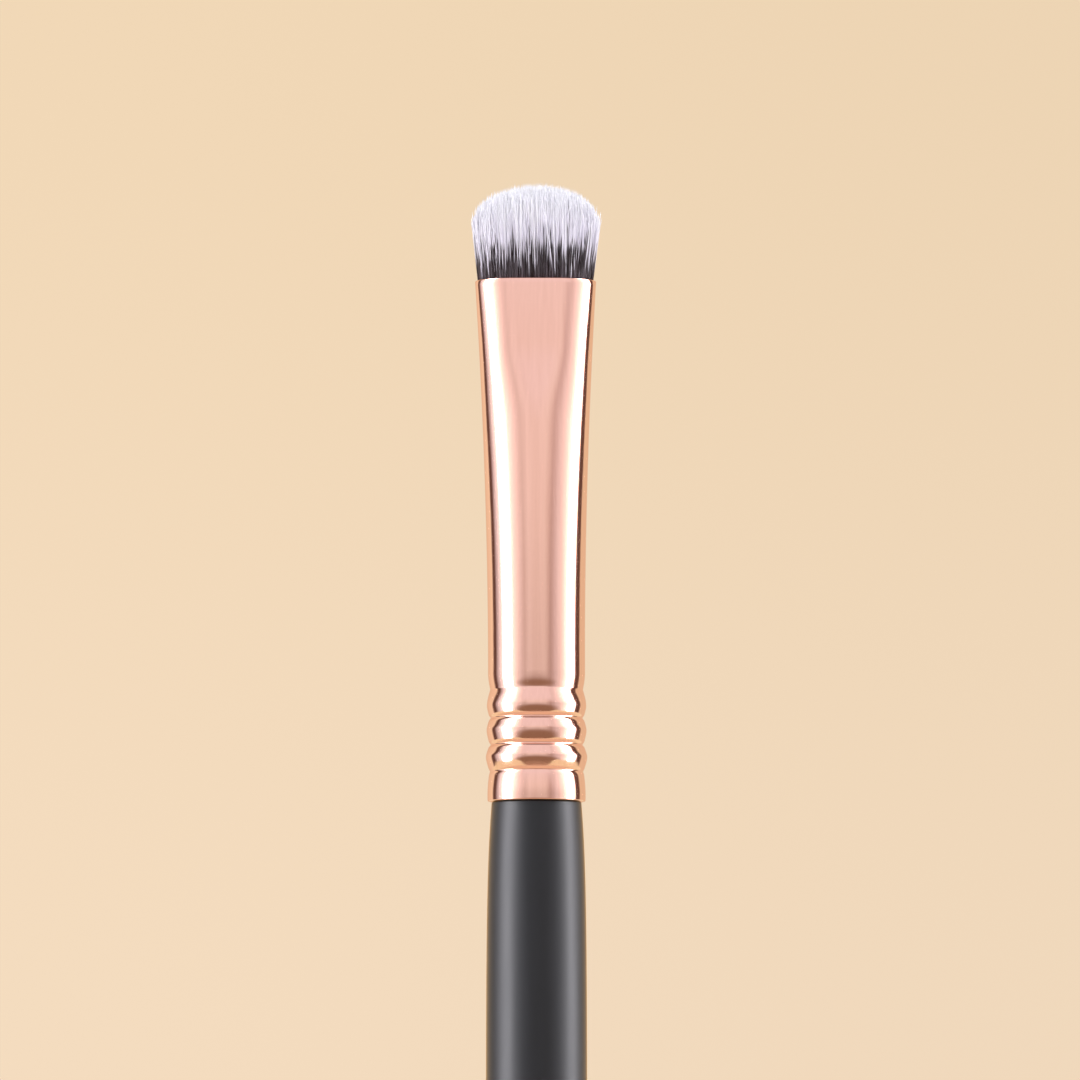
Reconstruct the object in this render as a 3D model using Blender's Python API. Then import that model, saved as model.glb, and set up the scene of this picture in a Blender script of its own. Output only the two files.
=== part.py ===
"""Detail makeup brush: a turned handle, a beaded ferrule pressed flat at its mouth, and a domed tuft.

Metres, with +Z towards the tuft. The origin is on the brush's axis at the belly of the handle, where
the fingers hold it, and the wide face of the ferrule's mouth looks along -Y.
"""

import math

import bmesh
import bpy
import numpy as np
from mathutils import Vector
from mathutils.geometry import delaunay_2d_cdt

# Handle
GRIP_DROP = 0.0300  # from the ferrule's lower edge down to the finger grip
HANDLE_LENGTH = 0.1315  # shoulder to tail
NECK_RADIUS = 0.00313
BELLY_RADIUS = 0.00354
NECK_SWELL = 0.0045  # length in which the neck makes up two thirds of its way to the belly
TAPER_START = 0.0380  # below the shoulder
TAIL_RADIUS = 0.00190
TAIL_ROUNDING = 0.00260
SHOULDER_CHAMFER = 0.00008
TENON_RADIUS = 0.00250
TENON_LENGTH = 0.0130
TENON_CHAMFER = 0.00040
GLUE_GROOVE_DEPTH = 0.00020
GLUE_GROOVE_WIDTH = 0.00080

# Ferrule
FERRULE_LENGTH = 0.0366
FERRULE_WALL = 0.00022
SKIRT_RADIUS = 0.00339
MOUTH_WIDTH = 0.00844
MOUTH_FLAT = 0.00240  # flat stretch of each wide side at the mouth
PRESS_LENGTH = 0.0046  # height of the panel that the press makes flat
PRESS_RUNOUT = 0.0056  # length in which that flat fades below it
PLAIN_LENGTH = 0.0008  # round tube between the beads' shoulder and the flare
END_BAND = 0.00212
BEAD_PITCH = 0.00190
BEAD_COUNT = 3
GROOVE_DEPTH = 0.00015
BEAD_PROUD = 0.00003  # how far the upper bead stands over the skirt
BEAD_GROWTH = 0.00005  # how much more each lower bead stands out
BEAD_SHOULDER = 0.00110
LIP_ROUNDING = 0.00006

# Tuft, measured upwards from the ferrule's mouth
TUFT_HEIGHT = 0.00705
TUFT_WIDTH = 0.00932
TUFT_DEPTH = 0.00470
DOME_RISE = 0.00265
FILAMENT_RADIUS = 0.000075
ROW_COUNT = 10
FULL_ROW_COUNT = 38
TIP_SCATTER = 0.00010
PLACE_SCATTER = 0.000006  # of a filament along its row
ROW_SCATTER = 0.000030  # of a filament across its row
SEED = 7

# Root of the tuft, measured downwards from the mouth
ROOT_TOP = 0.00050
ROOT_LENGTH = 0.00980
TIE_LENGTH = 0.00300
TIE_FLANGE = 0.00060  # root left below the tie
EDGE_MARGIN = 0.00013  # from the rim of the root slice in to the outer filaments
THREAD_DIAMETER = 0.00028
THREAD_PITCH = 0.00076
THREAD_TURNS = 3.25
EPOXY_LENGTH = 0.00420
EPOXY_DISH = 0.00070
EPOXY_RIM = 0.00060  # flat rim round the dish
EPOXY_SLOPE = 0.00120  # from that rim in to the floor of the dish

# Fits
SEAT_GAP = 0.00030  # between faces that rest on each other along the axis
GLUE_GAP = 0.00015  # between a wall and what fills it
LAYER_GAP = 0.00010  # between neighbouring layers of filaments

# Steepness of the curves
BEAD_POWER = 2.4
BAND_POWER = 9.0
SHOULDER_POWER = 1.6
FLARE_POWER = 1.9
DOME_POWER = 2.4
FLAT_STEEPNESS = 6.0  # how sharply the thread's loop crosses from one half of the flat to the other

# Shares of the sizes above
BEAD_RING_SHARES = (0.0, 0.10, 0.28, 0.50, 0.72, 0.90)
BAND_RING_SHARES = (0.0, 0.04, 0.12, 0.88, 0.96)
SHOULDER_RING_SHARES = (0.0, 0.10, 0.40)
CREST_SHARES = (0.0, 0.5)
NECK_RING_SHARES = (4.0, 2.3, 1.3, 0.7, 0.3)
LAYER_SHARES = {
    "front_bristles": (-1.0, -0.4),
    "core_bristles": (-0.4, 0.4),
    "back_bristles": (0.4, 1.0),
}
DYE_SHARES = (0.14, 0.42)
TAPER_RING_SHARE = 0.64
TAPER_RADIUS_SHARE = 0.86

# Facets
ROUND_SIDES = 40
HANDLE_SIDES = 36
SLEEVE_SIDES = 32
FLARE_RINGS = 16
INNER_FLARE_RINGS = 9
TAPER_RINGS = 9
TAIL_RINGS = 4
LAYER_SIDE_POINTS = 9
LAYER_RINGS = 9
EPOXY_RINGS = 5
LOOP_POINTS = 24
FILAMENT_SIDES = 3
GAP_LEVELS = 12  # heights at which the filaments' gaps are measured
SMOOTH_ANGLE = math.radians(32)
MERGE_DISTANCE = 0.000001
MILLIMETRE = 0.001

HIGH_GROOVE = END_BAND + BEAD_COUNT * BEAD_PITCH
FLARE_START = HIGH_GROOVE + BEAD_SHOULDER + PLAIN_LENGTH
GROOVE_RADIUS = SKIRT_RADIUS - GROOVE_DEPTH
TIE_TOP = ROOT_LENGTH - TIE_FLANGE - TIE_LENGTH
GROOVE_HEIGHTS = [END_BAND + bead * BEAD_PITCH for bead in range(BEAD_COUNT + 1)]


def material(name, colour, roughness, metallic=0.0):
    """A plain Principled finish."""
    made = bpy.data.materials.new(name)
    made.use_nodes = True
    shader = made.node_tree.nodes["Principled BSDF"]
    shader.inputs["Base Color"].default_value = (*colour, 1.0)
    shader.inputs["Roughness"].default_value = roughness
    shader.inputs["Metallic"].default_value = metallic
    return made


def add_piece(name, mesh, materials, height, carrier):
    """A smooth-shaded object on the brush's axis, at a height over the finger grip."""
    for finish in materials:
        mesh.materials.append(finish)
    mesh.shade_smooth()
    mesh.set_sharp_from_angle(angle=SMOOTH_ANGLE)
    piece = bpy.data.objects.new(name, mesh)
    piece.location = (0.0, 0.0, height)
    piece.parent = carrier
    bpy.context.collection.objects.link(piece)
    return piece


def mesh_of(bm, name):
    """The bmesh as a mesh whose faces point outwards."""
    bmesh.ops.recalc_face_normals(bm, faces=bm.faces)
    mesh = bpy.data.meshes.new(name)
    bm.to_mesh(mesh)
    bm.free()
    return mesh


def turned(profile, name, sides):
    """A solid of revolution from (radius, height) points that start and end on the axis."""
    bm = bmesh.new()
    points = [bm.verts.new((radius, 0.0, height)) for radius, height in profile]
    edges = [bm.edges.new(pair) for pair in zip(points, points[1:])]
    bmesh.ops.spin(
        bm,
        geom=points + edges,
        axis=(0.0, 0.0, 1.0),
        cent=(0.0, 0.0, 0.0),
        angle=math.tau,
        steps=sides,
        use_merge=True,
    )
    bmesh.ops.remove_doubles(bm, verts=bm.verts, dist=MERGE_DISTANCE)
    return mesh_of(bm, name)


def bridge(bm, lower, upper, slot=0):
    """Faces between two rings of as many vertices."""
    for index in range(len(lower)):
        after = (index + 1) % len(lower)
        face = bm.faces.new((lower[index], lower[after], upper[after], upper[index]))
        face.material_index = slot


def lofted(rings, name, through):
    """A skin over rings of points: a tube wall where through is set, and else capped at both ends."""
    bm = bmesh.new()
    rows = [[bm.verts.new(point) for point in ring] for ring in rings]
    for lower, upper in zip(rows, rows[1:]):
        bridge(bm, lower, upper)
    if through:
        bridge(bm, rows[-1], rows[0])
    else:
        bm.faces.new(rows[0][::-1])
        bm.faces.new(rows[-1])
    return mesh_of(bm, name)


def eased_share(share):
    """An S-shaped step from 0 to 1."""
    share = min(max(share, 0.0), 1.0)
    return share * share * (3.0 - 2.0 * share)


def bulge(share, power):
    """1 in the middle of a stretch and 0 at its two ends."""
    return 1.0 - abs(2.0 * share - 1.0) ** power


def skirt_radius_at(height):
    """Outer radius of the round tube below the flare: end band, rolled beads, then the shoulder."""
    if height < END_BAND:
        return GROOVE_RADIUS + GROOVE_DEPTH * bulge(height / END_BAND, BAND_POWER)
    if height < HIGH_GROOVE:
        bead, share = divmod((height - END_BAND) / BEAD_PITCH, 1.0)
        proud = BEAD_PROUD + BEAD_GROWTH * (BEAD_COUNT - 1 - bead)
        return GROOVE_RADIUS + (GROOVE_DEPTH + proud) * bulge(share, BEAD_POWER)
    share = min((height - HIGH_GROOVE) / BEAD_SHOULDER, 1.0)
    return GROOVE_RADIUS + GROOVE_DEPTH * (1.0 - (1.0 - share) ** SHOULDER_POWER)


def ferrule_section(height):
    """Half width, half depth and half flat of the ferrule's outside at a height over its lower edge.

    A section is a flat with half an ellipse at each end. The tube keeps its girth as it is pressed,
    so the depth follows from the width: the mean of the squared half axes of the two half ellipses
    equals the square of the girth that is left for them over a full turn.
    """
    if height <= FLARE_START:
        radius = skirt_radius_at(height)
        return radius, radius, 0.0
    flare = (height - FLARE_START) / (FERRULE_LENGTH - FLARE_START)
    half_width = SKIRT_RADIUS + (MOUTH_WIDTH / 2 - SKIRT_RADIUS) * flare**FLARE_POWER
    panel_foot = FERRULE_LENGTH - PRESS_LENGTH - PRESS_RUNOUT
    half_flat = MOUTH_FLAT / 2 * eased_share((height - panel_foot) / PRESS_RUNOUT)
    girth_radius = SKIRT_RADIUS - 2.0 * half_flat / math.pi
    half_depth = math.sqrt(2.0 * girth_radius**2 - (half_width - half_flat) ** 2)
    return half_width, half_depth, half_flat


def inset_section(height, inset):
    """The ferrule's section at a height, drawn in by a wall or a clearance."""
    half_width, half_depth, half_flat = ferrule_section(height)
    return half_width - inset, half_depth - inset, half_flat


def section_ring(section, height, sides):
    """Points round a section, with none on its flats' middles, so that each flat is one face."""
    half_width, half_depth, half_flat = section
    turns = (np.arange(sides) + 0.5) * math.tau / sides
    across = np.sign(np.cos(turns)) * half_flat + (half_width - half_flat) * np.cos(turns)
    return [(x, y, height) for x, y in zip(across, half_depth * np.sin(turns))]


def rolled_heights(band_shares, bead_shares, shoulder_shares):
    """Heights of the rings over the end band, the beads and their shoulder."""
    heights = [share * END_BAND for share in band_shares]
    for groove in GROOVE_HEIGHTS[:-1]:
        heights += [groove + share * BEAD_PITCH for share in bead_shares]
    return heights + [HIGH_GROOVE + share * BEAD_SHOULDER for share in shoulder_shares]


def make_ferrule(carrier):
    """The thin metal tube: rolled beads below, flared and pressed flat at the mouth, open through."""
    outer = rolled_heights(BAND_RING_SHARES, BEAD_RING_SHARES, SHOULDER_RING_SHARES)
    outer += [HIGH_GROOVE + BEAD_SHOULDER]
    outer += list(np.linspace(FLARE_START, FERRULE_LENGTH - LIP_ROUNDING, FLARE_RINGS))
    inner = rolled_heights(CREST_SHARES, CREST_SHARES, CREST_SHARES[:1]) + [HIGH_GROOVE + BEAD_SHOULDER]
    inner += list(np.linspace(FLARE_START, FERRULE_LENGTH, INNER_FLARE_RINGS))
    rings = [section_ring(inset_section(h, 0.0), h, ROUND_SIDES) for h in outer]
    lip = inset_section(FERRULE_LENGTH, LIP_ROUNDING)
    rings.append(section_ring(lip, FERRULE_LENGTH, ROUND_SIDES))
    for height in reversed(inner):
        section = inset_section(height, FERRULE_WALL)
        rings.append(section_ring(section, height, ROUND_SIDES))
    copper = material("polished_copper_plate", (0.93, 0.58, 0.46), 0.12, 1.0)
    mesh = lofted(rings, "ferrule", through=True)
    return add_piece("ferrule", mesh, [copper], GRIP_DROP, carrier)


def handle_radius(depth):
    """Radius of the turned wood at a depth below the shoulder, down to the rounded tail."""
    swell = BELLY_RADIUS - (BELLY_RADIUS - NECK_RADIUS) * math.exp(-depth / NECK_SWELL)
    taper = eased_share((depth - TAPER_START) / (HANDLE_LENGTH - TAPER_START))
    radius = swell + (TAIL_RADIUS - BELLY_RADIUS) * taper
    rounding = max((depth - HANDLE_LENGTH + TAIL_ROUNDING) / TAIL_ROUNDING, 0.0)
    return radius * math.sqrt(max(1.0 - rounding**2, 0.0))


def make_handle(carrier):
    """The turned and lacquered handle, with the tenon that carries the ferrule."""
    rounding = [
        HANDLE_LENGTH - TAIL_ROUNDING * (1.0 - math.sin(turn))
        for turn in np.linspace(math.pi / 2, 0.0, TAIL_RINGS)
    ]
    taper = list(np.linspace(HANDLE_LENGTH - TAIL_ROUNDING, TAPER_START, TAPER_RINGS))[1:]
    neck = [NECK_SWELL * share for share in NECK_RING_SHARES]
    profile = [(handle_radius(depth), -depth) for depth in rounding + taper + neck]
    profile.append((handle_radius(SHOULDER_CHAMFER), -SHOULDER_CHAMFER))
    profile.append((NECK_RADIUS - SHOULDER_CHAMFER, 0.0))
    profile.append((TENON_RADIUS, 0.0))
    for groove in GROOVE_HEIGHTS:
        middle = groove + SEAT_GAP
        profile.append((TENON_RADIUS, middle - GLUE_GROOVE_WIDTH / 2))
        profile.append((TENON_RADIUS - GLUE_GROOVE_DEPTH, middle))
        profile.append((TENON_RADIUS, middle + GLUE_GROOVE_WIDTH / 2))
    profile.append((TENON_RADIUS, TENON_LENGTH - TENON_CHAMFER))
    profile.append((TENON_RADIUS - TENON_CHAMFER, TENON_LENGTH))
    profile.append((0.0, TENON_LENGTH))
    lacquer = material("satin_black_lacquer", (0.022, 0.022, 0.025), 0.42)
    mesh = turned(profile, "handle", HANDLE_SIDES)
    return add_piece("handle", mesh, [lacquer], GRIP_DROP - SEAT_GAP, carrier)


def make_tenon_adhesive(carrier):
    """The sleeve of glue that fills the ferrule round the tenon, as high as the tenon's straight part."""
    low = SEAT_GAP
    high = TENON_LENGTH - TENON_CHAMFER - SEAT_GAP
    heights = [low, END_BAND / 2]
    for groove in GROOVE_HEIGHTS[:-1]:
        heights += [groove, groove + BEAD_PITCH / 2]
    heights += [HIGH_GROOVE, HIGH_GROOVE + BEAD_SHOULDER, high]
    rings = []
    for height in heights:
        section = inset_section(height, FERRULE_WALL + GLUE_GAP)
        rings.append(section_ring(section, height, SLEEVE_SIDES))
    bore = TENON_RADIUS + GLUE_GAP
    rings += [section_ring((bore, bore, 0.0), height, SLEEVE_SIDES) for height in (high, low)]
    glue = material("cream_wood_glue", (0.80, 0.72, 0.52), 0.45)
    mesh = lofted(rings, "tenon_adhesive", through=True)
    return add_piece("tenon_adhesive", mesh, [glue], GRIP_DROP, carrier)


def root_inset(depth):
    """How far the tuft's root lies inside the ferrule's outer face, deeper where the thread ties it."""
    inset = FERRULE_WALL + GLUE_GAP
    if TIE_TOP < depth < TIE_TOP + TIE_LENGTH:
        inset += THREAD_DIAMETER + GLUE_GAP
    return inset


def root_section(depth, inset):
    """The section inside the ferrule at a depth below its mouth."""
    return inset_section(FERRULE_LENGTH - depth, inset)


def make_root_epoxy(carrier):
    """The plug poured in behind the tuft, with the dished face that it sets with."""
    top = ROOT_LENGTH + SEAT_GAP
    base = top + EPOXY_LENGTH
    rings = []
    for depth in np.linspace(base, top, EPOXY_RINGS):
        section = root_section(depth, FERRULE_WALL + GLUE_GAP)
        rings.append(section_ring(section, -depth, ROUND_SIDES))
    rim = root_section(base, FERRULE_WALL + GLUE_GAP + EPOXY_RIM)
    floor = root_section(base, FERRULE_WALL + GLUE_GAP + EPOXY_RIM + EPOXY_SLOPE)
    rings.insert(0, section_ring(rim, -base, ROUND_SIDES))
    rings.insert(0, section_ring(floor, EPOXY_DISH - base, ROUND_SIDES))
    amber = material("amber_epoxy", (0.55, 0.34, 0.12), 0.25)
    mesh = lofted(rings, "root_epoxy", through=False)
    return add_piece("root_epoxy", mesh, [amber], GRIP_DROP + FERRULE_LENGTH, carrier)


def thread_points():
    """The tie's centre line: a helix that follows the ferrule's section just inside its wall."""
    steps = int(THREAD_TURNS * LOOP_POINTS) + 1
    first = TIE_TOP + (TIE_LENGTH - THREAD_TURNS * THREAD_PITCH) / 2
    points = []
    for step in range(steps):
        turn = step / LOOP_POINTS
        depth = first + turn * THREAD_PITCH
        inset = FERRULE_WALL + GLUE_GAP + THREAD_DIAMETER / 2
        half_width, half_depth, half_flat = root_section(depth, inset)
        angle = math.tau * turn
        x = math.tanh(math.cos(angle) * FLAT_STEEPNESS) * half_flat
        x += (half_width - half_flat) * math.cos(angle)
        points.append(Vector((x, half_depth * math.sin(angle), -depth)))
    return points


def make_binding_thread(carrier):
    """The thread wound round the tuft's root, one unbroken tube."""
    points = thread_points()
    far = LOOP_POINTS // 2
    gap = min(
        (one - other).length
        for index, one in enumerate(points)
        for other in points[index + far :]
    )
    print(f"least gap of the thread to itself: {(gap - THREAD_DIAMETER) / MILLIMETRE:.2f} mm")
    curve = bpy.data.curves.new("binding_thread", "CURVE")
    curve.dimensions = "3D"
    curve.bevel_depth = THREAD_DIAMETER / 2
    curve.bevel_resolution = 1
    curve.use_fill_caps = True
    spline = curve.splines.new("POLY")
    spline.points.add(len(points) - 1)
    for place, point in zip(spline.points, points):
        place.co = (*point, 1.0)
    curve.materials.append(material("white_tie_thread", (0.82, 0.80, 0.76), 0.8))
    piece = bpy.data.objects.new("binding_thread", curve)
    piece.location = (0.0, 0.0, GRIP_DROP + FERRULE_LENGTH)
    piece.parent = carrier
    bpy.context.collection.objects.link(piece)
    return piece


def tuft_section(height):
    """Half sizes of the area that the filaments' centre lines fill, at a height over the mouth."""
    inset = FERRULE_WALL + GLUE_GAP + EDGE_MARGIN
    half_width, half_depth, half_flat = root_section(max(-height, 0.0), inset)
    belly = TUFT_HEIGHT - DOME_RISE
    spread = math.sin(math.pi / 2 * min(max(height / belly, 0.0), 1.0))
    half_width += (TUFT_WIDTH / 2 - half_width) * spread
    half_depth += (TUFT_DEPTH / 2 - half_depth) * spread
    return half_width, half_depth, half_flat


def tuft_place(across, deep, height):
    """The point at two shares of the tuft's section, -1 to 1 each way, at a height over the mouth."""
    half_width, half_depth, half_flat = tuft_section(height)
    reach = half_flat + (half_width - half_flat) * math.sqrt(1.0 - deep**2)
    return Vector((across * reach, deep * half_depth, height))


def dome_height(across, deep):
    """Height of the rounded top, which falls by the dome's rise at the tuft's edge."""
    edge = min(across**2 + deep**2 - (across * deep) ** 2, 1.0)
    return TUFT_HEIGHT - DOME_RISE * (1.0 - (1.0 - edge) ** (1.0 / DOME_POWER))


def filament_shares(low, high):
    """(across, deep) of each filament in the rows from low to high, with every other row staggered."""
    shares = []
    for row in range(ROW_COUNT):
        deep = 2.0 * (row + 0.5) / ROW_COUNT - 1.0
        if not low < deep < high:
            continue
        fullness = tuft_place(1.0, deep, -ROOT_TOP).x / tuft_place(1.0, 0.0, -ROOT_TOP).x
        count = round(FULL_ROW_COUNT * fullness)
        stagger = row % 2
        for place in range(count + stagger):
            across = (2.0 * place + 1.0 - stagger) / count - 1.0
            shares.append((across, deep))
    return shares


def filament_line(across, deep, chance):
    """Four points up a filament: its foot, its dye line, where its taper starts, and its tip.

    It is straight from the foot to the taper, so that the dye line may lie at any height.
    """
    height = dome_height(across, deep) - TIP_SCATTER * chance.random()
    foot = tuft_place(across, deep, -ROOT_TOP)
    taper = tuft_place(across, deep, height * TAPER_RING_SHARE)
    tip = tuft_place(across, deep, height)
    dye_low, dye_high = DYE_SHARES
    dyed = height * (dye_low + (dye_high - dye_low) * chance.random())
    dye = foot.lerp(taper, (dyed + ROOT_TOP) / (taper.z + ROOT_TOP))
    aside, askew = chance.uniform(-1.0, 1.0, 2)
    scatter = Vector((aside * PLACE_SCATTER, askew * ROW_SCATTER, 0.0))
    return [point + scatter for point in (foot, dye, taper, tip)]


def ring_round(centre, radius, twist):
    """The corners of a filament round its centre line."""
    turns = [twist + math.tau * side / FILAMENT_SIDES for side in range(FILAMENT_SIDES)]
    return [centre + Vector((math.cos(t), math.sin(t), 0.0)) * radius for t in turns]


def layer_outline(low, high, depth):
    """The outline of one layer's root slice at a depth: up its right side, then down its left."""
    half_width, half_depth, half_flat = root_section(depth, root_inset(depth))
    cut_depth = root_section(depth, FERRULE_WALL + GLUE_GAP + EDGE_MARGIN)[1]
    limits = []
    for share, side in ((low, 1.0), (high, -1.0)):
        cut = share * cut_depth + side * LAYER_GAP / 2
        limits.append(share if abs(share) == 1.0 else cut / half_depth)
    turns = np.linspace(math.acos(-limits[0]), math.acos(-limits[1]), LAYER_SIDE_POINTS)
    right = []
    for turn in turns:
        reach = half_flat + (half_width - half_flat) * math.sin(turn)
        right.append(Vector((reach, -half_depth * math.cos(turn), -depth)))
    left = [Vector((-point.x, point.y, point.z)) for point in reversed(right)]
    return right + left


def cap_round_feet(outline, feet):
    """Triangles that fill an outline round the feet that stand in it, as indices into both."""
    points = outline + [corner for foot in feet for corner in foot]
    reach = max(point.x for point in outline)
    flat = [Vector((point.x / reach, point.y / reach)) for point in points]
    loops = [list(range(len(outline)))]
    for foot in range(len(feet)):
        first = len(outline) + FILAMENT_SIDES * foot
        loops.append(list(range(first, first + FILAMENT_SIDES)))
    found = delaunay_2d_cdt(flat, [], loops, 1, MERGE_DISTANCE)
    faces, first_points, owners = found[2], found[3], found[5]
    return [
        [first_points[corner][0] for corner in face]
        for face, owner in zip(faces, owners)
        if list(owner) == [0]
    ]


def layer_depths():
    """Depths of the root slice's rings, with a close pair at each edge of the tie's recess."""
    edge = GLUE_GAP
    recess = (TIE_TOP, TIE_TOP + TIE_LENGTH)
    depths = [ROOT_LENGTH, recess[1] + edge, recess[1] - edge, recess[0] + edge, recess[0] - edge]
    depths += list(np.linspace(recess[0], ROOT_TOP, LAYER_RINGS - len(depths) + 1))[1:]
    return depths


def make_bristle_layer(name, low, high, finishes, chance, carrier):
    """One layer of the tuft: a slice of its glued root with its filaments grown out of the top."""
    lines = [filament_line(*shares, chance) for shares in filament_shares(low, high)]
    twists = [chance.uniform(0.0, math.tau) for _ in lines]
    radii = (FILAMENT_RADIUS, FILAMENT_RADIUS, FILAMENT_RADIUS * TAPER_RADIUS_SHARE)
    rings = [
        [ring_round(centre, radius, twist) for centre, radius in zip(line, radii)]
        for line, twist in zip(lines, twists)
    ]
    bm = bmesh.new()
    outlines = [layer_outline(low, high, depth) for depth in layer_depths()]
    rows = [[bm.verts.new(point) for point in outline] for outline in outlines]
    bm.faces.new(rows[0][::-1])
    for lower, upper in zip(rows, rows[1:]):
        bridge(bm, lower, upper)
    stems = [[[bm.verts.new(point) for point in ring] for ring in stem] for stem in rings]
    top = rows[-1] + [corner for stem in stems for corner in stem[0]]
    for face in cap_round_feet(outlines[-1], [stem[0] for stem in rings]):
        bm.faces.new([top[corner] for corner in face])
    for stem, line in zip(stems, lines):
        foot, dye, taper = stem
        bridge(bm, foot, dye, 0)
        bridge(bm, dye, taper, 1)
        tip = bm.verts.new(line[-1])
        for side in range(FILAMENT_SIDES):
            face = bm.faces.new((taper[side], taper[(side + 1) % FILAMENT_SIDES], tip))
            face.material_index = 1
    add_piece(name, mesh_of(bm, name), finishes, GRIP_DROP + FERRULE_LENGTH, carrier)
    return lines


def least_filament_gap(lines):
    """The least gap between two filaments, from their centre lines at evenly spaced heights."""
    least = math.inf
    for height in np.linspace(-ROOT_TOP, TUFT_HEIGHT - DOME_RISE, GAP_LEVELS):
        places = []
        for line in lines:
            heights = [point.z for point in line]
            x = np.interp(height, heights, [point.x for point in line])
            y = np.interp(height, heights, [point.y for point in line])
            places.append((x, y))
        places = np.array(places)
        apart = np.linalg.norm(places[:, None] - places[None], axis=2)
        np.fill_diagonal(apart, math.inf)
        least = min(least, apart.min() - 2.0 * FILAMENT_RADIUS)
    return least


def make_tuft(carrier):
    """The three layers of two-tone filaments, each with its own slice of the root."""
    dark = material("dark_dyed_filament", (0.045, 0.033, 0.038), 0.5)
    pale = material("pale_filament_tip", (0.83, 0.82, 0.88), 0.45)
    chance = np.random.default_rng(SEED)
    lines = []
    for name, (low, high) in LAYER_SHARES.items():
        lines += make_bristle_layer(name, low, high, (dark, pale), chance, carrier)
    print(f"{len(lines)} filaments, least gap {least_filament_gap(lines) / MILLIMETRE:.3f} mm")


def main():
    for old in list(bpy.data.objects):
        bpy.data.objects.remove(old)
    carrier = bpy.data.objects.new("finger_grip", None)
    bpy.context.collection.objects.link(carrier)
    make_handle(carrier)
    make_tenon_adhesive(carrier)
    make_ferrule(carrier)
    make_root_epoxy(carrier)
    make_binding_thread(carrier)
    make_tuft(carrier)


main()
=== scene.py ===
import math

import bpy
import numpy as np
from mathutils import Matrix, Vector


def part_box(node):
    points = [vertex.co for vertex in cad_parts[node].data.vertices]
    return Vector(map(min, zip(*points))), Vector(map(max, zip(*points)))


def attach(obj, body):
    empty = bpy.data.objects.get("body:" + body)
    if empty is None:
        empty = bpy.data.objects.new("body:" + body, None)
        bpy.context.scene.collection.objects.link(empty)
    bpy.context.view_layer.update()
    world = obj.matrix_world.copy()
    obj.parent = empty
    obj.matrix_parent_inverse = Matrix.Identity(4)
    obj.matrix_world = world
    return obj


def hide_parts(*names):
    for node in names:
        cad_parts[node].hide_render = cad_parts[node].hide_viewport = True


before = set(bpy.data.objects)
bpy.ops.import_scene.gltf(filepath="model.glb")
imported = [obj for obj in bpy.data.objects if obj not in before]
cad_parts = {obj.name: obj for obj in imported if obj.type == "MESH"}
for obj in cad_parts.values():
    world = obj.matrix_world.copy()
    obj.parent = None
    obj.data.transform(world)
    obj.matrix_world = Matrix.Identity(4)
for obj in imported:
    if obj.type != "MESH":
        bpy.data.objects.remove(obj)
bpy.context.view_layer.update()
print("frame loaded:", ", ".join(sorted(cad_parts)))

mm = 0.001
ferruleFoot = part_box("ferrule")[0].z
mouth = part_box("ferrule")[1].z
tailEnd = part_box("handle")[0].z


# Nodes

class Wire:
    # an output socket; sums and products with numbers and other wires add Math nodes to its tree
    def __init__(self, board, socket):
        self.board = board
        self.socket = socket

    def math(self, operation, first, second):
        return self.board.add("ShaderNodeMath", {"operation": operation}, {0: first, 1: second})

    def __add__(self, other):
        return self.math("ADD", self, other)

    def __radd__(self, other):
        return self.math("ADD", other, self)

    def __sub__(self, other):
        return self.math("SUBTRACT", self, other)

    def __rsub__(self, other):
        return self.math("SUBTRACT", other, self)

    def __mul__(self, other):
        return self.math("MULTIPLY", self, other)

    def __rmul__(self, other):
        return self.math("MULTIPLY", other, self)

    def __truediv__(self, other):
        return self.math("DIVIDE", self, other)

    def __rtruediv__(self, other):
        return self.math("DIVIDE", other, self)

    def __neg__(self):
        return self.math("MULTIPLY", self, -1.0)

    def __abs__(self):
        return self.math("ABSOLUTE", self, 0.0)


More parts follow.
